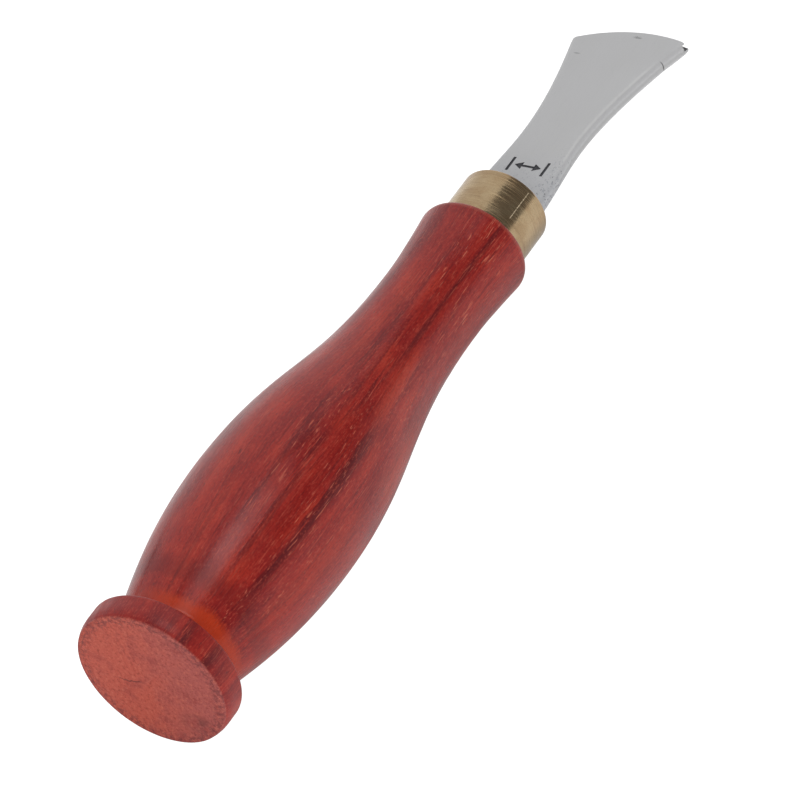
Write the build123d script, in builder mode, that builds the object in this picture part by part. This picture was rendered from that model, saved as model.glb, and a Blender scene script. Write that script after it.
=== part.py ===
from build123d import *
import os
from math import asin, degrees, sqrt

# Hand edge creaser: a turned wooden handle, a brass ferrule, and a steel head whose
# curved working edge carries a groove between two lips. The head's tang is glued
# into a hole bored along the handle.
#
# Frame, in millimetres: the origin is the centre of the handle's flat butt face,
# +X runs along the handle towards the working edge, the head lies flat in the XY
# plane, and +Z is the side of the head that carries the size mark.

os.makedirs("parts", exist_ok=True)

# Handle, turned about the X axis
butt_face_r = 12.6
collar_r = 13.0
collar_crown = 1.9            # axial length of the rounding from butt face to rim
collar_length = 4.75
collar_back_round = 0.55
cove_x = 7.05                 # bottom of the cove behind the collar
cove_r = 9.85
rise_x = 20.0
rise_r = 12.88
belly_x = 37.0
belly_r = 14.3
fall_x = 52.0
fall_r = 13.16
neck_x = 70.0
neck_r = 9.73
waist_x = 88.0
waist_r = 8.61
handle_length = 102.05        # from the butt face to the shoulder at the ferrule
shoulder_r = 9.45
shoulder_round = 0.7
shoulder_round_length = 1.3
cove_exit = (1, 0.28)         # direction of the profile as it leaves the cove
shoulder_entry = (1, 0.09)    # direction of the profile as it meets the shoulder

# Ferrule, pushed over a tenon on the handle's front end
ferrule_length = 10.37
ferrule_r = 7.63
ferrule_bore_r = 6.75
ferrule_front_round = 0.3
ferrule_back_chamfer = 0.15

# Tenon, tang hole and the glue around the tang
tenon_recess = 2.6            # tenon end, below the ferrule's mouth
glue_recess = 0.6             # glue surface, below the ferrule's mouth
tang_hole_r = 3.6
tang_hole_depth = 44.0
drill_point = 2.1

# Steel head; distances along it are from the ferrule's mouth, widths from the axis
blade_thickness = 2.8
shoulder_inset = 2.0          # how far the full width enters the ferrule
base_left = 6.65
base_right = 6.62
taper_dist = 7.5
taper_left = 6.42
taper_right = 6.12
waist_dist = 16.0
waist_left = 5.82
waist_right = 5.57
flare_dist = 25.0
flare_left = 6.22
flare_right = 6.22
head_dist = 34.0
head_left = 7.59
head_right = 7.92
left_corner = 9.12
facet_dist = 39.6             # start of the flat ground on the head's right side
facet_half_width = 9.3
right_corner = 11.1
side_round = 1.15
left_corner_setback = 0.7     # length of each edge taken off by the rounded corner
tang_half_width = 3.0
tang_end_half_width = 2.0
tang_length = 41.0

# Working edge: arcs about one centre, a little to the right of the handle's axis.
# The crease lip is on the marked side, and the guide lip beside it reaches further.
crease_radius = 24.53
guide_reach = 0.25
edge_centre_dist = 20.7
edge_centre_y = -4.84
crease_lip = 0.3
groove_width = 1.0
groove_depth = 0.6            # from the crease lip's edge
guide_lip = 0.3               # flat end of the guide lip
guide_round_length = 0.9      # its rounded outer side
guide_round_height = 0.45
bevel_length = 12.0           # convex bevel on the unmarked side
cutter_margin = 2.0           # how far the cutting profiles run past the edge
cutter_angle = 12.0           # and past the corners, in degrees

# Size mark: a dimension symbol, a double-headed arrow between two bars
mark_depth = 0.12
mark_dist = 8.6
mark_span = 6.4
mark_height = 3.4
mark_stroke = 0.5
arrow_gap = 0.5
arrow_head_length = 1.4
arrow_head_width = 1.8

# Places along X that follow from the lengths above
ferrule_mouth = handle_length + ferrule_length
tenon_end = ferrule_mouth - tenon_recess
glue_end = ferrule_mouth - glue_recess
hole_bottom = tenon_end - tang_hole_depth
hole_tip = hole_bottom - drill_point
blade_shoulder = ferrule_mouth - shoulder_inset
tang_end = blade_shoulder - tang_length
edge_centre_x = ferrule_mouth + edge_centre_dist
guide_radius = crease_radius + guide_reach


def edge_point(y):
    """Point of the guide lip's edge at the given Y."""
    return (edge_centre_x + sqrt(guide_radius**2 - (y - edge_centre_y) ** 2), y)


def edge_angle(y):
    """Angle of that point about the arcs' centre, in degrees from +X."""
    return degrees(asin((y - edge_centre_y) / guide_radius))


# ---- handle: one turned piece with a tenon and a drilled tang hole
collar_rim_end = (collar_length - collar_back_round, collar_r)
collar_back = (collar_length, collar_r - collar_back_round)
shoulder_start = (handle_length - shoulder_round_length, shoulder_r)
shoulder_end = (handle_length, shoulder_r - shoulder_round)

with BuildPart() as handle:
    with BuildSketch(Plane.XY):
        with BuildLine():
            Line((0, 0), (0, butt_face_r))
            TangentArc((collar_crown, collar_r), (0, butt_face_r), tangent=(-1, 0))
            Line((collar_crown, collar_r), collar_rim_end)
            TangentArc(collar_rim_end, collar_back, tangent=(1, 0))
            Spline(collar_back, (cove_x, cove_r), tangents=[(0, -1), cove_exit])
            Spline(
                (cove_x, cove_r),
                (rise_x, rise_r),
                (belly_x, belly_r),
                (fall_x, fall_r),
                (neck_x, neck_r),
                (waist_x, waist_r),
                shoulder_start,
                tangents=[cove_exit, shoulder_entry],
            )
            Spline(shoulder_start, shoulder_end, tangents=[shoulder_entry, (0, -1)])
            Polyline(
                shoulder_end,
                (handle_length, ferrule_bore_r),
                (tenon_end, ferrule_bore_r),
                (tenon_end, tang_hole_r),
                (hole_bottom, tang_hole_r),
                (hole_tip, 0),
                (0, 0),
            )
        make_face()
    revolve(axis=Axis.X)
handle.part.label = "handle"
export_step(handle.part, "parts/handle.step")

# ---- ferrule: brass tube on the tenon, butting against the handle's shoulder
with BuildPart() as ferrule:
    with BuildSketch(Plane.YZ.offset(handle_length)):
        Circle(ferrule_r)
        Circle(ferrule_bore_r, mode=Mode.SUBTRACT)
    extrude(amount=ferrule_length)
    front_edges = ferrule.faces().sort_by(Axis.X)[-1].edges().sort_by(SortBy.RADIUS)
    fillet(front_edges[-1], radius=ferrule_front_round)
    back_edges = ferrule.faces().sort_by(Axis.X)[0].edges().sort_by(SortBy.RADIUS)
    chamfer(back_edges[-1], length=ferrule_back_chamfer)
ferrule.part.label = "ferrule"
export_step(ferrule.part, "parts/ferrule.step")

# ---- blade: flared steel head with its tang, one ground and stamped piece
left_tip = edge_point(left_corner)
right_tip = edge_point(-right_corner)
facet_start = (ferrule_mouth + facet_dist, -facet_half_width)
front_z = blade_thickness / 2
back_z = -blade_thickness / 2

with BuildPart() as blade:
    with BuildSketch(Plane.XY):
        with BuildLine():
            left_side = Spline(
                (blade_shoulder, base_left),
                (ferrule_mouth + taper_dist, taper_left),
                (ferrule_mouth + waist_dist, waist_left),
                (ferrule_mouth + flare_dist, flare_left),
                (ferrule_mouth + head_dist, head_left),
                left_tip,
            )
            RadiusArc(left_tip, right_tip, guide_radius)
            Line(right_tip, facet_start)
            Spline(
                facet_start,
                (ferrule_mouth + head_dist, -head_right),
                (ferrule_mouth + flare_dist, -flare_right),
                (ferrule_mouth + waist_dist, -waist_right),
                (ferrule_mouth + taper_dist, -taper_right),
                (blade_shoulder, -base_right),
            )
            Polyline(
                (blade_shoulder, -base_right),
                (blade_shoulder, -tang_half_width),
                (tang_end, -tang_end_half_width),
                (tang_end, tang_end_half_width),
                (blade_shoulder, tang_half_width),
                (blade_shoulder, base_left),
            )
        make_face()
    extrude(amount=blade_thickness / 2, both=True)

    # the long sides are softened, front and back
    fillet(blade.edges().filter_by(GeomType.BSPLINE), radius=side_round)

    # the left corner is ground round
    corner_at = 1 - left_corner_setback / left_side.length
    with BuildSketch(Plane.XY):
        with BuildLine():
            corner = TangentArc(
                left_side @ corner_at,
                edge_point(left_corner - left_corner_setback),
                tangent=left_side % corner_at,
            )
            Polyline(
                corner @ 1,
                (left_tip[0] + cutter_margin, left_tip[1]),
                (left_tip[0], left_tip[1] + cutter_margin),
                corner @ 0,
            )
        make_face()
    extrude(amount=blade_thickness, both=True, mode=Mode.SUBTRACT)

    # convex bevel and groove, both turned about the centre of the working edge
    sweep_start = edge_angle(-right_corner) - cutter_angle
    sweep = edge_angle(left_corner) + cutter_angle - sweep_start
    edge_axis = Axis((edge_centre_x, edge_centre_y, 0), (0, 0, 1))
    across = Vector(1, 0, 0).rotate(Axis.Z, sweep_start)
    section = Plane(edge_axis.position, x_dir=across, z_dir=across.cross(Vector(0, 0, 1)))
    guide_wall_z = front_z - crease_lip - groove_width
    lip_end = (guide_radius, guide_wall_z - guide_lip)
    with BuildSketch(section):
        with BuildLine():
            bevel = TangentArc(
                (guide_radius - bevel_length, back_z),
                (guide_radius - guide_round_length, lip_end[1] - guide_round_height),
                tangent=(1, 0),
            )
            TangentArc(bevel @ 1, lip_end, tangent=bevel % 1)
            Polyline(
                lip_end,
                (guide_radius + cutter_margin, lip_end[1]),
                (guide_radius + cutter_margin, back_z - cutter_margin),
                (guide_radius - bevel_length, back_z - cutter_margin),
                bevel @ 0,
            )
        make_face()
    revolve(axis=edge_axis, revolution_arc=sweep, mode=Mode.SUBTRACT)
    with BuildSketch(section):
        with Locations((crease_radius, front_z)):
            Rectangle(
                cutter_margin,
                crease_lip + groove_width,
                align=(Align.MIN, Align.MAX),
            )
        with Locations((crease_radius - groove_depth, front_z - crease_lip)):
            Rectangle(
                groove_depth + cutter_margin,
                groove_width,
                align=(Align.MIN, Align.MAX),
            )
    revolve(axis=edge_axis, revolution_arc=sweep, mode=Mode.SUBTRACT)

    # engraved size mark: a double-headed arrow between two bars
    with BuildSketch(Plane.XY.offset(front_z)):
        with Locations((ferrule_mouth + mark_dist, 0)):
            with GridLocations(0, mark_span, 1, 2):
                Rectangle(mark_height, mark_stroke)
            Rectangle(mark_stroke, mark_span - 2 * arrow_gap - 2 * arrow_head_length)
        for side in (-1, 1):
            arrow_tip = side * (mark_span / 2 - mark_stroke / 2 - arrow_gap)
            head_base = arrow_tip - side * arrow_head_length
            with BuildLine():
                Polyline(
                    (ferrule_mouth + mark_dist, arrow_tip),
                    (ferrule_mouth + mark_dist - arrow_head_width / 2, head_base),
                    (ferrule_mouth + mark_dist + arrow_head_width / 2, head_base),
                    close=True,
                )
            make_face()
    extrude(amount=-mark_depth, mode=Mode.SUBTRACT)
blade.part.label = "blade"
export_step(blade.part, "parts/blade.step")

# ---- glue: fills the hole around the tang and the ferrule around the blade's base
with BuildPart() as tang_glue:
    with BuildSketch(Plane.XY):
        with BuildLine():
            Polyline(
                (hole_tip, 0),
                (hole_bottom, tang_hole_r),
                (tenon_end, tang_hole_r),
                (tenon_end, ferrule_bore_r),
                (glue_end, ferrule_bore_r),
                (glue_end, 0),
                close=True,
            )
        make_face()
    revolve(axis=Axis.X)
    add(blade.part, mode=Mode.SUBTRACT)
tang_glue.part.label = "tang_glue"
export_step(tang_glue.part, "parts/tang_glue.step")
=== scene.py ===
from math import cos, hypot, pi, radians, sin

import bpy
from mathutils import Matrix, Vector, noise


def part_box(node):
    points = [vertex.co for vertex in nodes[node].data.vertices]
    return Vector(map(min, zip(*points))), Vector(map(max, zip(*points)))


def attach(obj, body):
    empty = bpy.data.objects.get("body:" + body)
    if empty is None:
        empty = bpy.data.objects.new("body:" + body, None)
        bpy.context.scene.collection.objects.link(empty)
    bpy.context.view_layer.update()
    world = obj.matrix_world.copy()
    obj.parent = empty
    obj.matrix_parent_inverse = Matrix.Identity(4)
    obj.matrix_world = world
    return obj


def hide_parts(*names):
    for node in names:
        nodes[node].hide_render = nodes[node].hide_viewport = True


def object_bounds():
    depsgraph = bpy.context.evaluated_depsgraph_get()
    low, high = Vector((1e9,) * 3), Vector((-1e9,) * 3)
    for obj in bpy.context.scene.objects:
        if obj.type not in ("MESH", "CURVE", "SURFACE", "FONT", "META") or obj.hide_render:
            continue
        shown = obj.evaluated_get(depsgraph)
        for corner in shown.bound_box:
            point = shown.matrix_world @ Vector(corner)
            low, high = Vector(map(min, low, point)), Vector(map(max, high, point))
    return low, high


# Looks of a hand edge creaser: a turned handle of red-stained wood, a satin brass
# ferrule and a bead-blasted steel head. Metres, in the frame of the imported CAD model: +X
# runs along the handle to the working edge, and +Z is the marked side of the head.
# Materials measure in millimetres of the same frame.

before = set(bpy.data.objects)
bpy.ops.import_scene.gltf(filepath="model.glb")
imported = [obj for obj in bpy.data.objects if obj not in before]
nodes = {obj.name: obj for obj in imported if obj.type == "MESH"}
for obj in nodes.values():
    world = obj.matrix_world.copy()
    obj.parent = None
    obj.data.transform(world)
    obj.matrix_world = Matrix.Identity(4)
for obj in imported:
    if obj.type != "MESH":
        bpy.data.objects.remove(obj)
cad_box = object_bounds()

MM = 0.001

# ---- Sizes that the new meshes need beside the CAD nodes' own surfaces
TENON_R = 6.75 * MM
TENON_END = 109.82 * MM
HOLE_R = 3.6 * MM
HOLE_BOTTOM = 65.82 * MM
COLLAR_END = 9.0 * MM          # the handle's finer rings end here, past the cove
SHOULDER_START = 99.0 * MM     # and start again here
FINE_GAP = 0.16 * MM           # between the handle's rings there
COARSE_GAP = 0.33 * MM         # and along the rest of it
FACE_RINGS = 42
SEGMENTS = 192
SHARP_ANGLE = radians(32)
SLOW_WAVE = (60, 90)           # waves per metre along the handle and across it
SLOW_DEPTH = 0.045             # millimetres
QUICK_WAVE = 260
QUICK_SHIFT = 7
QUICK_DEPTH = 0.012

# ---- Camera: place and turn of the photograph's viewpoint, lens and sensor in millimetres
CAMERA_PLACE = Vector((-0.39519, -0.38138, 0.49785))
CAMERA_RIGHT = Vector((0.47766, -0.85503, -0.20190))
CAMERA_UP = Vector((0.64668, 0.18662, 0.73958))
CAMERA_LENS = 225.0
CAMERA_SENSOR = 36.0
CAMERA_CLIP = (0.01, 20.0)


# ======================================================================== shader graph
def linear(red, green, blue):
    """Linear colour of one given as 0 to 255 in sRGB."""
    shares = [value / 255 for value in (red, green, blue)]
    return tuple(
        s / 12.92 if s <= 0.04045 else ((s + 0.055) / 1.055) ** 2.4 for s in shares
    )


class Graph:
    """Adds shader nodes to one tree. An input is a number, a colour or a node's output."""

    def __init__(self, tree):
        self.tree = tree

    def put(self, socket, value):
        if isinstance(value, bpy.types.NodeSocket):
            self.tree.links.new(value, socket)
            return
        if isinstance(value, tuple) and len(value) == 3 and socket.type == "RGBA":
            value = (*value, 1.0)
        socket.default_value = value

    def node(self, kind, inputs=None, **settings):
        made = self.tree.nodes.new("ShaderNode" + kind)
        for name, value in settings.items():
            setattr(made, name, value)
        for key, value in (inputs or {}).items():
            self.put(made.inputs[key], value)
        return made

    def math(self, operation, a, b=0.0, c=0.0):
        return self.node("Math", {0: a, 1: b, 2: c}, operation=operation).outputs[0]

    def add(self, a, b):
        return self.math("ADD", a, b)

    def times(self, a, b):
        return self.math("MULTIPLY", a, b)

    def length(self, a, b):
        return self.math("SQRT", self.add(self.times(a, a), self.times(b, b)))

    def between(self, value, low, high, to_low=0.0, to_high=1.0):
        """Smooth step from to_low at low to to_high at high."""
        inputs = {0: value, 1: low, 2: high, 3: to_low, 4: to_high}
        made = self.node("MapRange", inputs, interpolation_type="SMOOTHSTEP")
        return made.outputs[0]

    def band(self, value, centre, half, soft):
        """1 within half of centre, and 0 past half plus soft."""
        away = self.math("ABSOLUTE", self.add(value, -centre))
        return self.between(away, half, half + soft, 1.0, 0.0)

    def mix(self, share, a, b):
        """Colour between a and b."""
        return self.node("Mix", {0: share, 6: a, 7: b}, data_type="RGBA").outputs[2]

    def blend(self, share, a, b):
        """Number between a and b."""
        return self.node("Mix", {0: share, 2: a, 3: b}, data_type="FLOAT").outputs[0]

    def ramp(self, value, stops):
        made = self.node("ValToRGB", {0: value})
        elements = made.color_ramp.elements
        while len(elements) < len(stops):
            elements.new(0.5)
        for element, (place, colour) in zip(elements, stops):
            element.position = place
            element.color = (*colour, 1.0)
        return made.outputs[0]

    def noise(self, place, scale=1.0, detail=2.0, rough=0.5):
        inputs = {"Vector": place, "Scale": scale, "Detail": detail, "Roughness": rough}
        return self.node("TexNoise", inputs).outputs[0]

    def cells(self, place, scale=1.0):
        inputs = {"Vector": place, "Scale": scale}
        return self.node("TexVoronoi", inputs).outputs["Distance"]

    def stretch(self, place, along, across, shift=0.0):
        """A point with x multiplied by along and shifted, and y and z multiplied by across."""
        inputs = {0: place, 1: (along, across, across), 2: (shift, 0.0, 0.0)}
        return self.node("VectorMath", inputs, operation="MULTIPLY_ADD").outputs[0]

    def point(self, x, y, z):
        return self.node("CombineXYZ", {0: x, 1: y, 2: z}).outputs[0]

    def place_mm(self):
        """The point on the surface, in millimetres of the row frame, and its three parts."""
        metres = self.node("TexCoord").outputs["Object"]
        inputs = {0: metres, "Scale": 1 / MM}
        place = self.node("VectorMath", inputs, operation="SCALE").outputs[0]
        parts = self.node("SeparateXYZ", {0: place}).outputs
        return place, parts[0], parts[1], parts[2]

    def bump(self, height, distance, strength):
        inputs = {"Height": height, "Distance": distance, "Strength": strength}
        return self.node("Bump", inputs).outputs[0]


def new_material(name):
    """An empty material, its graph and the socket that its shader goes to."""
    material = bpy.data.materials.new(name)
    material.use_nodes = True
    material.node_tree.nodes.clear()
    graph = Graph(material.node_tree)
    surface = graph.node("OutputMaterial").inputs["Surface"]
    return material, graph, surface


# ======================================================================== wood
# Figure in the wood: place round the axis and half-width in degrees, start and end along
# X in millimetres, drift in degrees per millimetre, and depth of colour.
DARK_STREAKS = (
    (163.0, 2.6, 9, 17, -1.6, 0.60),
    (148.5, 3.6, 15, 52, -0.02, 0.90),
    (125.5, 1.7, 16, 46, -0.06, 0.60),
    (110.5, 1.5, 24, 54, -0.05, 0.60),
    (127.5, 1.6, 50, 68, 0.42, 0.55),
    (136.0, 2.8, 68, 104, 0.03, 0.80),
    (136.5, 3.4, 90, 95, 0.00, 0.90),
    (110.5, 1.8, 60, 92, -0.10, 0.55),
    (88.5, 1.6, 14, 36, 0.00, 0.35),
    (151.0, 4.2, -6, 5, 0.00, 0.95),
    (128.0, 3.8, -6, 5, 0.00, 0.95),
    (116.0, 2.2, -6, 5, 0.00, 0.55),
    (162.0, 1.4, -6, 5, 0.00, 0.55),
    (180.0, 10.0, 74, 104, 0.00, 0.22),
    (252.0, 4.0, 18, 64, 0.10, 0.70),
    (286.0, 3.0, 40, 98, -0.12, 0.65),
    (12.0, 3.6, 10, 58, 0.12, 0.65),
    (-22.0, 2.6, 46, 92, -0.08, 0.60),
)
RED_STREAKS = (
    (136.0, 5.5, 24, 54, 0.00, 0.75),
    (127.0, 5.0, 72, 98, 0.00, 0.45),
    (232.0, 7.0, 30, 72, 0.00, 0.50),
    (330.0, 7.0, 20, 66, 0.00, 0.50),
)
ORANGE_STREAKS = (
    (145.5, 5.0, 54, 70, 0.00, 0.75),
    (96.0, 6.0, 62, 84, 0.00, 0.50),
    (186.0, 12.0, 46, 62, 0.00, 0.65),
    (172.0, 8.0, 14, 40, 0.10, 0.40),
    (262.0, 7.0, 50, 92, 0.00, 0.50),
    (20.0, 8.0, 60, 88, 0.00, 0.50),
)
STREAK_FADE_IN = 4             # half the length of a streak's soft ends
STREAK_FADE_OUT = 6
SEAM_SIDE = 130.0              # the angles' seam lies opposite this one, under the tool
LAYER_SIDE = 137.0             # the growth layers stand on edge here, and lie flat beside it
BELLY_R = 13.0                 # radius at which the grain has its full size
COLLAR_FROM = 4.5              # the collar's look starts to give way here
COLLAR_TO = 6.5                # and has gone here
# In a pair of places, a look starts at the first and is full at the second.
BUTT = (0.50, 0.14)            # end grain, over the butt's rounded rim
COVE_START = (6.5, 7.8)        # bright stain in the cove
COVE_END = (11.6, 9.6)
HEEL_START = (12.6, 13.8)      # dark stain behind it
HEEL_END = (18.0, 15.0)
LINES_GROW = (76.0, 94.0)      # stronger lines towards the shoulder
SHOULDER_X = 101.35            # middle of the shoulder's rounded edge
SHOULDER_R = (8.4, 8.7)
CRACK_Y = 4.6                  # vertex of the curve that the butt's crack follows
CRACK_Z = -1.35
CRACK_BEND = 0.07
CRACK_TAPER = (6.2, 3.6)       # in y, where its half width grows
CRACK_HALF = (0.08, 0.16)      # from the first to the second of these
CRACK_SPAN = (4.2, 1.4, 1.2)   # middle, half length and fade, in y
STAIN_Y = -6.6                 # middle of the butt's dark stain
STAIN_Z = -7.4
STAIN_REACH = (4.6, 0.8)
RIM_RING_R = 11.9              # a line that turning left near the rim of the butt
BRUISED_R = (11.5, 13.4)
RIM_R = (12.1, 12.9)
WOOD_RELIEF = 0.02 * MM


def turn_about_x(g, y, z):
    """Angle about X from +Y towards +Z, from -50 to 310 degrees."""
    side = radians(SEAM_SIDE)
    along = g.add(g.times(y, cos(side)), g.times(z, sin(side)))
    across = g.add(g.times(y, -sin(side)), g.times(z, cos(side)))
    return g.math("MULTIPLY_ADD", g.math("ARCTAN2", across, along), 180 / pi, SEAM_SIDE)


def figure(g, turn, x, rows):
    """Mask of streaks with soft, tapering ends."""
    total = 0.0
    for centre, half, start, end, drift, depth in rows:
        middle = g.math("MULTIPLY_ADD", x, drift, centre - drift * start)
        away = g.math("ABSOLUTE", g.math("SUBTRACT", turn, middle))
        side = g.between(away, half * 0.3, half * 1.6, depth, 0.0)
        begun = g.between(x, start - STREAK_FADE_IN, start + STREAK_FADE_IN)
        ended = g.between(x, end + STREAK_FADE_OUT, end - STREAK_FADE_OUT)
        total = g.math("MAXIMUM", total, g.times(side, g.times(begun, ended)))
    return total


def end_grain(g, place, y, z, radius):
    """Colour of the butt's sanded end grain, bruised round the rim, with a painted sheen towards
    -Y and painted shade on one side of the rim, and two noises in it.
    """
    cloud = g.noise(place, scale=0.30, detail=4.0, rough=0.65)
    # orange towards +Y, pinkish grey towards -Y: the pinkish grey is a painted sheen
    side = g.math("MULTIPLY_ADD", cloud, 16.0, g.add(y, -8.0))
    colour = g.mix(g.between(side, -9.0, 5.0), linear(194, 95, 87), linear(210, 91, 71))
    colour = g.mix(g.between(cloud, 0.50, 0.32, 0.0, 0.55), colour, linear(166, 58, 52))
    speck = g.noise(place, scale=1.7, detail=4.0, rough=0.75)
    colour = g.mix(g.between(speck, 0.51, 0.70, 0.0, 0.6), colour, linear(136, 42, 38))
    colour = g.mix(g.between(speck, 0.49, 0.30, 0.0, 0.60), colour, linear(228, 122, 92))
    dots = g.cells(place, scale=0.9)
    colour = g.mix(g.between(dots, 0.16, 0.06, 0.0, 0.4), colour, linear(128, 38, 36))

    # a dark stain low on one side
    off = g.length(g.add(y, -STAIN_Y), g.times(g.add(z, -STAIN_Z), 1.6))
    patch = g.times(g.between(off, *STAIN_REACH), g.between(cloud, 0.35, 0.6))
    colour = g.mix(g.times(patch, 0.6), colour, linear(100, 40, 42))

    # bruises and a turning line round the rim, paler flecks that are partly a painted sheen, and
    # painted shade on one side of the rim
    mottle = g.noise(place, scale=1.2, detail=4.0, rough=0.75)
    edge = g.between(g.math("MULTIPLY_ADD", mottle, 2.8, radius), *BRUISED_R)
    flecks = g.times(edge, g.between(mottle, 0.44, 0.60))
    colour = g.mix(g.times(flecks, 0.6), colour, linear(112, 44, 52))
    # paler flecks on the rim: bruises, and partly a painted sheen
    pale_bruise_and_sheen = g.times(edge, g.between(mottle, 0.46, 0.36))
    colour = g.mix(g.times(pale_bruise_and_sheen, 0.5), colour, linear(222, 124, 108))
    ring = g.times(g.band(radius, RIM_RING_R, 0.05, 0.12), g.between(cloud, 0.45, 0.60))
    colour = g.mix(g.times(ring, 0.45), colour, linear(118, 44, 46))
    # painted shade: one side of the rim darker and purple grey, towards +Y and -Z
    rim_shade_side = g.add(y, g.times(z, -0.6))
    rim = g.times(g.between(radius, *RIM_R), g.between(rim_shade_side, -4.0, 9.0))
    colour = g.mix(g.times(rim, 0.45), colour, linear(112, 48, 58))
    return colour, speck, mottle


def crack(g, y, z):
    """Mask of a hair crack in the butt's end grain."""
    bend = g.math("POWER", g.add(y, -CRACK_Y), 2.0)
    line = g.math("MULTIPLY_ADD", bend, CRACK_BEND, CRACK_Z)
    wander = g.noise(g.point(y, 0.0, 0.0), scale=1.5, detail=4.0, rough=0.8)
    line = g.math("MULTIPLY_ADD", wander, 1.6, g.add(line, -0.8))
    away = g.math("ABSOLUTE", g.math("SUBTRACT", z, line))
    wide = g.between(y, *CRACK_TAPER, *CRACK_HALF)
    return g.times(g.between(g.math("DIVIDE", away, wide), 1.0, 0.4), g.band(y, *CRACK_SPAN))


def wood_material():
    """Red-stained, oiled hardwood: streaks and pores along X, and matte end grain on the butt."""
    material, g, surface = new_material("red_wood")
    place, x, y, z = g.place_mm()
    radius = g.length(y, z)
    to_belly = g.math("DIVIDE", BELLY_R, radius)
    ring_y = g.times(y, to_belly)
    ring_z = g.times(z, to_belly)
    turn = turn_about_x(g, y, z)

    # slow wandering of the grain, and coordinates that follow it
    ring_place = g.point(x, ring_y, ring_z)
    drift = g.noise(g.stretch(ring_place, 0.018, 0.06), detail=1.0)
    sway = g.times(g.add(drift, -0.5), 2.6)
    grain_place = g.point(x, g.add(ring_y, sway), g.add(ring_z, g.times(sway, 0.6)))

    def grain(along, across, shift):
        return g.stretch(grain_place, along, across, shift)

    # layers on edge show as fine lines, layers lying flat as soft clouds
    side = radians(LAYER_SIDE)
    upright = g.add(g.times(y, cos(side)), g.times(z, sin(side)))
    upright = g.math("ABSOLUTE", g.math("DIVIDE", upright, radius))
    lined = g.between(upright, 0.45, 0.92, 0.45, 1.0)
    # fainter on the collar, stronger towards the shoulder
    lined = g.times(lined, g.between(x, COLLAR_FROM, COLLAR_TO, 0.6, 1.0))
    lined = g.times(lined, g.between(x, *LINES_GROW, 1.0, 1.35))

    broad = g.noise(grain(0.022, 0.20, 3.1), detail=2.0)
    cloud = g.noise(g.stretch(place, 0.10, 0.22), detail=3.0, rough=0.6)
    streak = g.noise(grain(0.022, 0.70, 8.3), detail=3.0, rough=0.6)
    thread = g.noise(grain(0.075, 2.6, 1.7), detail=3.0, rough=0.6)
    hair = g.noise(grain(0.22, 6.0, 5.9), detail=2.0)
    fleck = g.noise(g.stretch(place, 1.6, 3.6), detail=2.0, rough=0.7)

    tone = g.add(g.times(broad, 0.5), g.times(cloud, 0.5))
    colour = g.ramp(tone, [
        (0.36, linear(140, 30, 32)),
        (0.46, linear(162, 38, 35)),
        (0.55, linear(178, 46, 37)),
        (0.64, linear(196, 58, 42)),
    ])
    fray = g.add(g.times(g.add(thread, -0.5), 9.0), g.times(g.add(hair, -0.5), 9.0))
    frayed = g.add(g.math("MULTIPLY_ADD", sway, 1.4, turn), fray)
    colour = g.mix(figure(g, frayed, x, ORANGE_STREAKS), colour, linear(198, 62, 40))
    colour = g.mix(figure(g, frayed, x, RED_STREAKS), colour, linear(156, 28, 22))
    veins = g.times(g.between(streak, 0.54, 0.72, 0.0, 0.5), lined)
    dark = g.math("MAXIMUM", figure(g, frayed, x, DARK_STREAKS), veins)
    colour = g.mix(dark, colour, linear(104, 26, 31))

    def line(value, start, full, depth, tint):
        share = g.times(g.between(value, start, full, 0.0, depth), lined)
        return g.mix(share, colour, tint)

    colour = line(thread, 0.52, 0.72, 0.50, linear(104, 20, 24))
    colour = line(thread, 0.46, 0.28, 0.30, linear(204, 76, 58))
    colour = line(hair, 0.55, 0.75, 0.42, linear(98, 20, 24))
    colour = line(hair, 0.42, 0.26, 0.50, linear(216, 102, 82))
    colour = g.mix(g.between(fleck, 0.52, 0.72, 0.0, 0.42), colour, linear(98, 20, 24))
    colour = g.mix(g.between(fleck, 0.48, 0.28, 0.0, 0.42), colour, linear(212, 92, 74))

    # open pores: pale dashes where they hold filler, dark ticks elsewhere
    pores = g.noise(g.stretch(place, 0.28, 4.2), detail=1.0)
    busy = g.noise(grain(0.03, 0.35, 2.2), detail=2.0)
    pale = g.times(g.between(pores, 0.64, 0.71), g.between(busy, 0.38, 0.6, 0.25, 1.0))
    pale = g.times(pale, lined)
    colour = g.mix(g.times(pale, 0.62), colour, linear(228, 118, 92))
    ticks = g.noise(g.stretch(place, 0.55, 2.0), detail=1.0)
    tick = g.times(g.between(ticks, 0.29, 0.24), g.between(lined, 0.95, 0.6))
    colour = g.mix(g.times(tick, 0.6), colour, linear(92, 18, 24))

    # brighter stain in the cove, darker stain behind it, and an edge rubbed paler
    pooled = g.math("MULTIPLY_ADD", g.add(fleck, g.times(cloud, 2.0)), 1.2, x)
    cove = g.times(g.between(pooled, *COVE_START), g.between(pooled, *COVE_END))
    cove = g.times(cove, g.between(upright, 0.30, 0.85, 0.25, 1.0))
    colour = g.mix(g.times(cove, 0.85), colour, linear(224, 74, 34))
    heel = g.times(g.between(pooled, *HEEL_START), g.between(pooled, *HEEL_END))
    colour = g.mix(g.times(heel, 0.35), colour, linear(112, 26, 28))
    shoulder = g.times(g.band(x, SHOULDER_X, 0.22, 0.25), g.between(radius, *SHOULDER_R))
    colour = g.mix(g.times(shoulder, 0.20), colour, linear(206, 112, 88))

    # end grain shows on the butt, and fades in over its rounded rim
    butt = g.between(g.math("MULTIPLY_ADD", fleck, 0.3, x), *BUTT)
    end_colour, speck, mottle = end_grain(g, place, y, z, radius)
    split = g.times(crack(g, y, z), butt)
    end_colour = g.mix(g.times(split, 0.65), end_colour, linear(82, 26, 28))
    colour = g.mix(butt, colour, end_colour)

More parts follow.
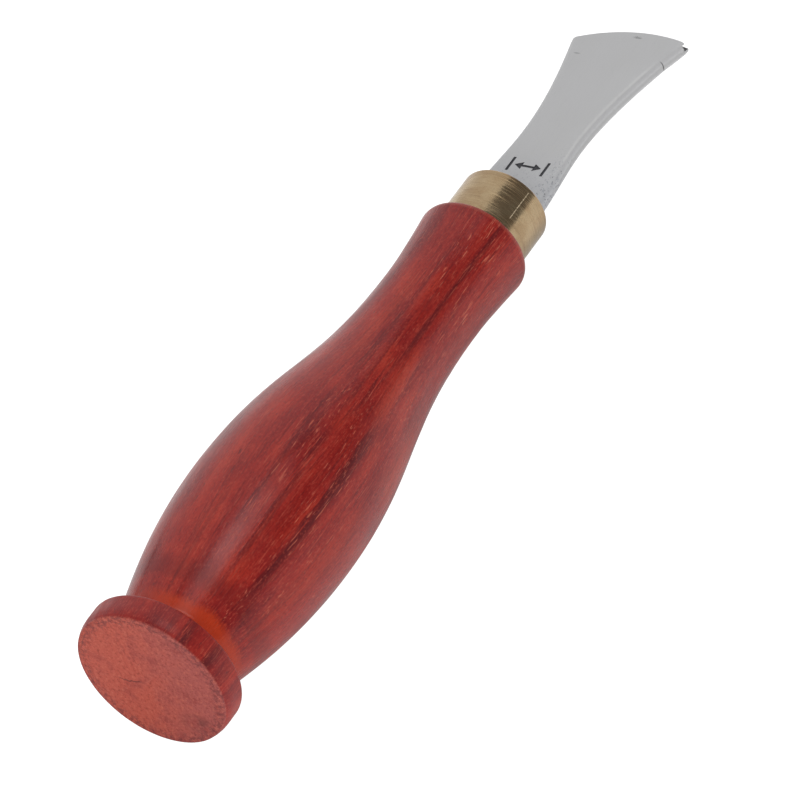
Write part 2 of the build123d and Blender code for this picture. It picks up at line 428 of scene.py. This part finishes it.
    oil = g.noise(g.stretch(ring_place, 0.12, 0.5), detail=3.0)
    side_rough = g.between(g.add(oil, g.times(thread, 0.3)), 0.45, 0.85, 0.21, 0.34)
    side_rough = g.add(side_rough, g.between(x, COLLAR_TO, COLLAR_FROM, 0.0, 0.13))
    rough = g.blend(butt, side_rough, g.between(speck, 0.3, 0.7, 0.42, 0.60))

    relief = g.add(g.times(thread, 0.5), g.add(g.times(hair, 0.35), g.times(pale, -0.8)))
    relief = g.add(relief, g.add(g.times(tick, -1.2), g.times(fleck, 0.15)))
    end_relief = g.add(g.times(speck, 1.4), g.add(g.times(split, -5.0), g.times(mottle, 0.8)))
    height = g.blend(butt, g.times(relief, lined), end_relief)
    normal = g.bump(height, WOOD_RELIEF, 0.7)
    shader = g.node("BsdfPrincipled", {
        "Base Color": colour, "Roughness": rough, "IOR": 1.5, "Normal": normal,
        "Specular IOR Level": 0.32,
    })
    g.put(surface, shader.outputs[0])
    return material


# ======================================================================== brass
SCRATCH_TURN = 141.0           # place round the axis, in degrees
SCRATCH_FROM = 105.2
SCRATCH_TO = 111.4
FRONT_RIM_X = (112.12, 112.26)
FRONT_RIM_R = (7.0, 7.2)
BORE_R = (6.95, 6.80)
BRASS_RELIEF = 0.020 * MM


def brass_material():
    """Satin turned brass: fine lines round the axis, a little tarnish and one long scratch."""
    material, g, surface = new_material("satin_brass")
    place, x, y, z = g.place_mm()
    radius = g.length(y, z)
    turn = turn_about_x(g, y, z)
    tarnish = g.noise(g.stretch(place, 0.30, 0.30), detail=4.0, rough=0.6)
    smear = g.noise(g.stretch(place, 1.1, 0.22), detail=3.0, rough=0.6)
    colour = g.mix(g.between(tarnish, 0.35, 0.70), linear(188, 165, 131), linear(174, 147, 113))
    colour = g.mix(g.between(smear, 0.52, 0.75, 0.0, 0.45), colour, linear(150, 124, 96))
    lines = g.noise(g.stretch(place, 4.6, 0.16), detail=2.0, rough=0.7)
    patches = g.noise(g.stretch(place, 0.5, 0.30), detail=2.0)
    line_depth = g.between(patches, 0.38, 0.62, 0.35, 1.0)
    dust = g.noise(place, scale=4.0, detail=3.0, rough=0.7)
    colour = g.mix(g.between(lines, 0.55, 0.72, 0.0, 0.40), colour, linear(220, 196, 155))
    colour = g.mix(g.between(lines, 0.45, 0.28, 0.0, 0.30), colour, linear(140, 114, 82))
    colour = g.mix(g.between(dust, 0.53, 0.72, 0.0, 0.36), colour, linear(126, 100, 78))

    away = g.math("ABSOLUTE", g.add(turn, -SCRATCH_TURN))
    middle = (SCRATCH_FROM + SCRATCH_TO) / 2
    half = (SCRATCH_TO - SCRATCH_FROM) / 2
    breaks = g.noise(g.stretch(place, 2.5, 0.0), detail=1.0)
    broken = g.between(breaks, 0.35, 0.55, 0.50, 1.0)
    scratch = g.times(g.between(away, 0.60, 0.20), g.band(x, middle, half, 0.3))
    scratch = g.times(scratch, broken)
    colour = g.mix(g.times(scratch, 0.95), colour, linear(255, 240, 212))

    rough = g.between(lines, 0.35, 0.65, 0.11, 0.31)
    rough = g.add(rough, g.between(tarnish, 0.5, 0.75, 0.0, 0.05))
    rough = g.blend(scratch, rough, 0.75)
    height = g.add(g.times(g.times(lines, line_depth), 1.6), g.times(scratch, -0.8))
    normal = g.bump(height, BRASS_RELIEF, 0.7)
    tangent = g.node("Tangent", direction_type="RADIAL", axis="X").outputs[0]

    # a cleaner front rim, and a duller bore
    rim = g.times(g.between(x, *FRONT_RIM_X), g.between(radius, *FRONT_RIM_R))
    colour = g.mix(g.times(rim, 0.7), colour, linear(206, 176, 158))
    colour = g.mix(g.between(radius, *BORE_R), colour, linear(120, 92, 58))
    shader = g.node("BsdfPrincipled", {
        "Base Color": colour, "Metallic": 1.0, "Roughness": rough, "Normal": normal,
        "Anisotropic": 0.4, "Anisotropic Rotation": 0.25, "Tangent": tangent,
    })
    g.put(surface, shader.outputs[0])
    return material


# ======================================================================== steel
FRONT_Z = 1.4                  # the marked face
MARK_X = 121.02                # middle and half size of the engraved mark
MARK_HALF_X = 1.78
MARK_HALF_Y = 3.5
EDGE_X = 133.12                # centre of the working edge's arcs
EDGE_Y = -4.84
CREASE_R = 24.53
GROOVE_Z = 0.6                 # middle, half width and depth of the groove in that edge
GROOVE_HALF = 0.51
GROOVE_DEPTH = 0.6
EDGE_HIGHLIGHT_BAND = (0.90, 0.30, 0.45)    # painted highlight along the rounded long edges: middle, half width and fade, away from the mid plane
EDGE_HIGHLIGHT_LINE = (1.27, 0.02, 0.13)     # and the same of a painted highlight line where they meet the faces
HIGHLIGHT_LINE_SIDE = (-2.0, -4.0)       # in y; the painted highlight line lies on the -Y edge only
HIGHLIGHT_LINE_START = (119.0, 126.0)
HIGHLIGHT_LINE_END = (152.0, 148.0)
ROOT = (126.0, 114.0)          # coarser blasting towards the ferrule
PITTED = (130.0, 116.0)        # and more of its specks beside the long edge
PITTED_SIDE = (-2.6, -5.2)     # in y
# middle, then half size, along x and y
RUBBED_SPOT = (156.2, -2.3, 0.40, 1.05)
FAINT_SPOT = (149.9, 6.0, 0.25, 0.8)
FACET_STEP = (151.6, -9.5, 0.16, 0.9)
STEEL_RELIEF = 0.010 * MM


def spot(g, x, y, at_x, at_y, half_x, half_y):
    """Soft oval mask about a point of the head's face."""
    dx = g.times(g.add(x, -at_x), 1 / half_x)
    dy = g.times(g.add(y, -at_y), 1 / half_y)
    return g.between(g.length(dx, dy), 1.0, 0.4)


def steel_material():
    """Bead-blasted steel: rolling lines, painted highlights on the rounded edges, specks by the
    ferrule, a dark mark, painted shade in the groove.
    """
    material, g, surface = new_material("satin_steel")
    place, x, y, z = g.place_mm()
    cloud = g.noise(g.stretch(place, 0.10, 0.16), detail=4.0, rough=0.6)
    grit = g.noise(place, scale=5.0, detail=3.0, rough=0.7)
    rolled = g.noise(g.stretch(place, 0.35, 3.4), detail=3.0, rough=0.7)
    colour = g.mix(g.between(cloud, 0.3, 0.7), linear(217, 217, 218), linear(223, 223, 223))
    colour = g.mix(g.between(rolled, 0.50, 0.75, 0.0, 0.22), colour, linear(196, 196, 198))

    # painted highlight on the softened long edges, strongest in a line where the -Y edge leaves
    # the faces
    off_middle = g.math("ABSOLUTE", z)
    colour = g.mix(g.band(off_middle, *EDGE_HIGHLIGHT_BAND), colour, linear(232, 232, 233))
    # painted highlight line along the -Y edge, broken up by the grit
    painted_edge_highlight = g.times(g.band(off_middle, *EDGE_HIGHLIGHT_LINE), g.between(y, *HIGHLIGHT_LINE_SIDE))
    painted_edge_highlight = g.times(painted_edge_highlight, g.times(g.between(x, *HIGHLIGHT_LINE_START), g.between(x, *HIGHLIGHT_LINE_END)))
    painted_edge_highlight = g.times(painted_edge_highlight, g.between(grit, 0.3, 0.6, 0.6, 1.0))
    colour = g.mix(painted_edge_highlight, colour, linear(240, 240, 240))

    # towards the ferrule the blasting is coarser and faintly blue, with dark specks
    root = g.between(x, *ROOT)
    colour = g.mix(g.times(root, 0.26), colour, linear(208, 211, 218))
    pits = g.cells(g.stretch(place, 1.5, 2.4))
    pitted = g.times(g.between(x, *PITTED), g.between(y, *PITTED_SIDE))
    near = g.math("MAXIMUM", g.times(root, 0.35), pitted)
    pit = g.times(g.between(pits, 0.34, 0.16), g.times(near, g.between(grit, 0.42, 0.56)))
    colour = g.mix(g.times(pit, 0.65), colour, linear(104, 108, 120))
    scuffs = g.noise(g.stretch(place, 1.4, 1.8), detail=3.0, rough=0.7)
    scuff = g.times(g.between(scuffs, 0.54, 0.66), near)
    colour = g.mix(g.times(scuff, 0.30), colour, linear(140, 146, 162))

    # marks of use on the face: two rubbed spots and the step where the facet starts
    rub = g.times(spot(g, x, y, *RUBBED_SPOT), g.between(grit, 0.44, 0.56))
    colour = g.mix(g.times(rub, 0.55), colour, linear(96, 96, 98))
    faint = spot(g, x, y, *FAINT_SPOT)
    colour = g.mix(g.times(faint, 0.25), colour, linear(110, 110, 112))
    step = g.times(spot(g, x, y, *FACET_STEP), g.between(z, -0.9, -0.3))
    colour = g.mix(g.times(step, 0.7), colour, linear(70, 70, 72))

    # dark filling in the engraved mark, and painted shade in the groove of the working edge
    in_mark = g.times(g.band(x, MARK_X, MARK_HALF_X, 0.05), g.band(y, 0.0, MARK_HALF_Y, 0.05))
    below = g.between(z, FRONT_Z - 0.01, FRONT_Z - 0.03)
    low = g.times(below, g.between(z, FRONT_Z - 0.20, FRONT_Z - 0.18))
    mark = g.times(in_mark, low)
    colour = g.mix(mark, colour, g.mix(grit, linear(94, 94, 97), linear(136, 136, 140)))
    from_centre = g.length(g.add(x, -EDGE_X), g.add(y, -EDGE_Y))
    floor_r = CREASE_R - GROOVE_DEPTH
    in_groove = g.between(from_centre, floor_r - 0.15, floor_r + 0.05)
    # painted shade: the groove's floor darkened where the crease lip shades it
    groove_painted_shade = g.times(in_groove, g.band(z, GROOVE_Z, GROOVE_HALF, 0.02))
    colour = g.mix(g.times(groove_painted_shade, 0.85), colour, linear(96, 96, 98))

    rough = g.between(g.add(g.times(grit, 0.5), g.times(cloud, 0.5)), 0.35, 0.65, 0.76, 0.84)
    rough = g.blend(g.math("MAXIMUM", mark, pit), rough, 0.9)
    height = g.add(g.times(grit, 0.8), g.add(g.times(rolled, 0.4), g.times(pit, -1.5)))
    height = g.add(height, g.times(step, -3.0))
    normal = g.bump(height, STEEL_RELIEF, 0.6)
    shader = g.node("BsdfPrincipled", {
        "Base Color": colour, "Metallic": 1.0, "Roughness": rough, "Normal": normal,
    })
    g.put(surface, shader.outputs[0])
    return material


# ======================================================================== glue
GLUE_RELIEF = 0.15 * MM


def glue_material():
    """Cured epoxy: amber brown, glossy, uneven."""
    material, g, surface = new_material("cured_epoxy")
    place = g.place_mm()[0]
    cloud = g.noise(place, scale=0.9, detail=3.0)
    colour = g.mix(g.between(cloud, 0.35, 0.65), linear(118, 92, 62), linear(150, 122, 84))
    rough = g.between(cloud, 0.3, 0.7, 0.22, 0.40)
    normal = g.bump(g.noise(place, scale=1.6, detail=2.0), GLUE_RELIEF, 0.6)
    shader = g.node("BsdfPrincipled", {
        "Base Color": colour, "Roughness": rough, "Normal": normal,
    })
    g.put(surface, shader.outputs[0])
    return material


# ======================================================================== turned meshes
def outline(node, least_radius):
    """Points (x, radius) along a turned CAD node's outer surface, lowest x first."""
    found = {}
    for vertex in node.data.vertices:
        radius = hypot(vertex.co.y, vertex.co.z)
        if radius > least_radius:
            key = round(vertex.co.x, 6)
            found[key] = max(radius, found.get(key, 0.0))
    return sorted(found.items())


def follow(points, steps):
    """Points along a polyline at a spacing that steps gives for each x."""
    made = [points[0]]
    spare = 0.0
    for (x0, r0), (x1, r1) in zip(points, points[1:]):
        run = hypot(x1 - x0, r1 - r0)
        gap = steps(x0)
        at = gap - spare
        while at < run:
            share = at / run
            made.append((x0 + (x1 - x0) * share, r0 + (r1 - r0) * share))
            at += gap
        spare = run - (at - gap)
    if hypot(made[-1][0] - points[-1][0], made[-1][1] - points[-1][1]) < gap / 3:
        made.pop()
    made.append(points[-1])
    return made


def line_points(start, end, count):
    """count points from start towards end, without end."""
    return [
        (start[0] + (end[0] - start[0]) * i / count, start[1] + (end[1] - start[1]) * i / count)
        for i in range(count)
    ]


def lathe(name, profile, shape):
    """A turned mesh from (x, radius) points, moved by shape. Radius 0 makes a pole."""
    vertices = []
    rings = []
    for x, radius in profile:
        if radius == 0.0:
            rings.append([len(vertices)] * SEGMENTS)
            vertices.append(shape(x, 0.0, 0.0))
            continue
        first = len(vertices)
        rings.append(list(range(first, first + SEGMENTS)))
        for i in range(SEGMENTS):
            turn = 2 * pi * i / SEGMENTS
            y = radius * cos(turn)
            z = radius * sin(turn)
            vertices.append(shape(x, y, z))
    faces = []
    for low, high in zip(rings, rings[1:]):
        for i in range(SEGMENTS):
            j = (i + 1) % SEGMENTS
            corners = [low[i], high[i], high[j], low[j]]
            faces.append(list(dict.fromkeys(corners)))
    mesh = bpy.data.meshes.new(name)
    mesh.from_pydata(vertices, [], faces)
    mesh.validate()
    mesh.polygons.foreach_set("use_smooth", [True] * len(mesh.polygons))
    piece = bpy.data.objects.new(name, mesh)
    bpy.context.scene.collection.objects.link(piece)
    return piece


def handle_shape(x, y, z):
    """Small unevenness of hand turning and sanding, but not on the tenon or in the hole."""
    radius = hypot(y, z)
    if radius < TENON_R * 1.01 and x > 1.0 * MM:
        return (x, y, z)
    along, across = SLOW_WAVE
    slow = noise.noise(Vector((x * along, y * across, z * across)))
    place = (x * QUICK_WAVE + QUICK_SHIFT, y * QUICK_WAVE, z * QUICK_WAVE)
    quick = noise.noise(Vector(place))
    grow = 1.0 + (SLOW_DEPTH * slow + QUICK_DEPTH * quick) * MM / max(radius, 2 * MM)
    return (x, y * grow, z * grow)


def make_handle(material):
    """The handle turned again with finer rings, its tenon and the hole for the tang."""
    outer = outline(nodes["handle"], TENON_R * 1.02)

    def gap(x):
        if x < COLLAR_END or x > SHOULDER_START:
            return FINE_GAP
        return COARSE_GAP

    face = line_points((0.0, 0.0), outer[0], FACE_RINGS)
    side = follow(outer, gap)
    shoulder = (outer[-1][0], TENON_R)
    hole_tip = (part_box("tang_glue")[0].x, 0.0)
    inside = [
        shoulder, (TENON_END, TENON_R), (TENON_END, HOLE_R), (HOLE_BOTTOM, HOLE_R), hole_tip,
    ]
    piece = lathe("turned_handle", face + side + inside, handle_shape)
    piece.data.set_sharp_from_angle(angle=SHARP_ANGLE)
    piece.data.materials.append(material)
    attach(piece, "root")
    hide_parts("handle")


# ======================================================================== studio
FLOOR_HALF = 6.0               # metres
FLOOR_DROP = 0.05 * MM         # below the lowest point of the tool
SHADE_FROM = 8.0               # millimetres from the tool's axis where the painted shadow on the floor is darkest
SHADE_TO = 22.0                # and where it has faded and the floor reaches its full brightness
ROOM_LIGHT = 0.18
# name, azimuth and elevation in degrees, metres from the tool, width, height and radiance
LAMPS = (
    ("overhead", -48, 72, 1.0, 0.44, 0.44, 2.3),
    ("left_panel", 43.7, 34.6, 1.2, 1.8, 1.8, 0.50),
    ("low_strip", -53.5, 3.2, 1.5, 1.6, 0.17, 0.60),
    ("fill", 200, 30, 1.6, 1.3, 1.3, 1.2),
)


def softbox(name, azimuth, elevation, distance, width, height, radiance):
    """A rectangular lamp that faces the object and that the camera doesn't see."""
    data = bpy.data.lights.new(name, "AREA")
    data.shape = "RECTANGLE"
    data.size = width
    data.size_y = height
    data.energy = 4 * width * height * radiance    # as Cycles counts an area lamp's watts
    lamp = bpy.data.objects.new(name, data)
    bpy.context.scene.collection.objects.link(lamp)
    across = cos(radians(elevation))
    away = Vector((
        across * cos(radians(azimuth)), across * sin(radians(azimuth)), sin(radians(elevation)),
    ))
    centre = (cad_box[0] + cad_box[1]) / 2
    lamp.location = centre + away * distance
    side = away.cross(Vector((1.0, 0.0, 0.0))).normalized()
    lamp.rotation_euler = Matrix((side.cross(away), side, away)).transposed().to_euler()
    lamp.visible_camera = False


def make_plane(name, level, base, near, far):
    """A large level plane of a plain pale material that glows, from near by the tool to far,
    which paints a shadow by the tool where near is below far.
    """
    mesh = bpy.data.meshes.new(name)
    half = FLOOR_HALF
    corners = [(-half, -half), (half, -half), (half, half), (-half, half)]
    mesh.from_pydata([(x, y, level) for x, y in corners], [], [(0, 1, 2, 3)])
    plane = bpy.data.objects.new(name, mesh)
    bpy.context.scene.collection.objects.link(plane)
    material, g, surface = new_material(name)
    away = g.math("ABSOLUTE", g.place_mm()[2])
    glow = g.between(away, SHADE_FROM, SHADE_TO, near, far)
    shade = g.between(away, SHADE_FROM, SHADE_TO, base * near / far, base)
    shader = g.node("BsdfPrincipled", {
        "Base Color": shade, "Roughness": 0.8,
        "Emission Color": (1.0, 1.0, 1.0), "Emission Strength": glow,
    })
    g.put(surface, shader.outputs[0])
    plane.data.materials.append(material)
    return plane


def make_floor():
    """A plain white table top for the camera, and the top that lights the tool from below, with a
    painted contact shadow by the tool.
    """
    level = cad_box[0].z - FLOOR_DROP
    floor = make_plane("floor", level, base=0.25, near=0.95, far=0.95)
    floor.visible_diffuse = False
    floor.visible_glossy = False
    # painted contact shadow: the bounce top glows less and is darker by the tool
    bounce = make_plane("floor_bounce", level, base=0.85, near=0.40, far=0.64)
    bounce.visible_camera = False
    bounce.visible_shadow = False


def make_world():
    """A dim room that the camera sees as white."""
    world = bpy.data.worlds.new("studio")
    world.use_nodes = True
    world.node_tree.nodes.clear()
    g = Graph(world.node_tree)
    room = g.node("Background", {"Color": (1.0, 1.0, 1.0), "Strength": ROOM_LIGHT})
    white = g.node("Background", {"Color": (1.0, 1.0, 1.0), "Strength": 1.0})
    seen = g.node("LightPath").outputs["Is Camera Ray"]
    mixed = g.node("MixShader", {0: seen, 1: room.outputs[0], 2: white.outputs[0]})
    output = g.node("OutputWorld")
    g.put(output.inputs["Surface"], mixed.outputs[0])
    bpy.context.scene.world = world


def make_camera():
    """The camera, at the place and with the turn and lens given above."""
    data = bpy.data.cameras.new("camera")
    data.lens = CAMERA_LENS
    data.sensor_width = CAMERA_SENSOR
    data.clip_start, data.clip_end = CAMERA_CLIP
    camera = bpy.data.objects.new("camera", data)
    bpy.context.scene.collection.objects.link(camera)
    back = CAMERA_RIGHT.cross(CAMERA_UP)
    turn = Matrix((CAMERA_RIGHT, CAMERA_UP, back)).transposed()
    camera.matrix_world = Matrix.Translation(CAMERA_PLACE) @ turn.to_4x4()
    bpy.context.scene.camera = camera


def repaint(node, material):
    """Gives a CAD node a new material."""
    for slot in node.material_slots:
        slot.material = material


make_camera()
make_world()
make_floor()
for lamp_row in LAMPS:
    softbox(*lamp_row)

make_handle(wood_material())
repaint(nodes["ferrule"], brass_material())
repaint(nodes["blade"], steel_material())
repaint(nodes["tang_glue"], glue_material())

scene = bpy.context.scene
scene.view_settings.view_transform = "Standard"
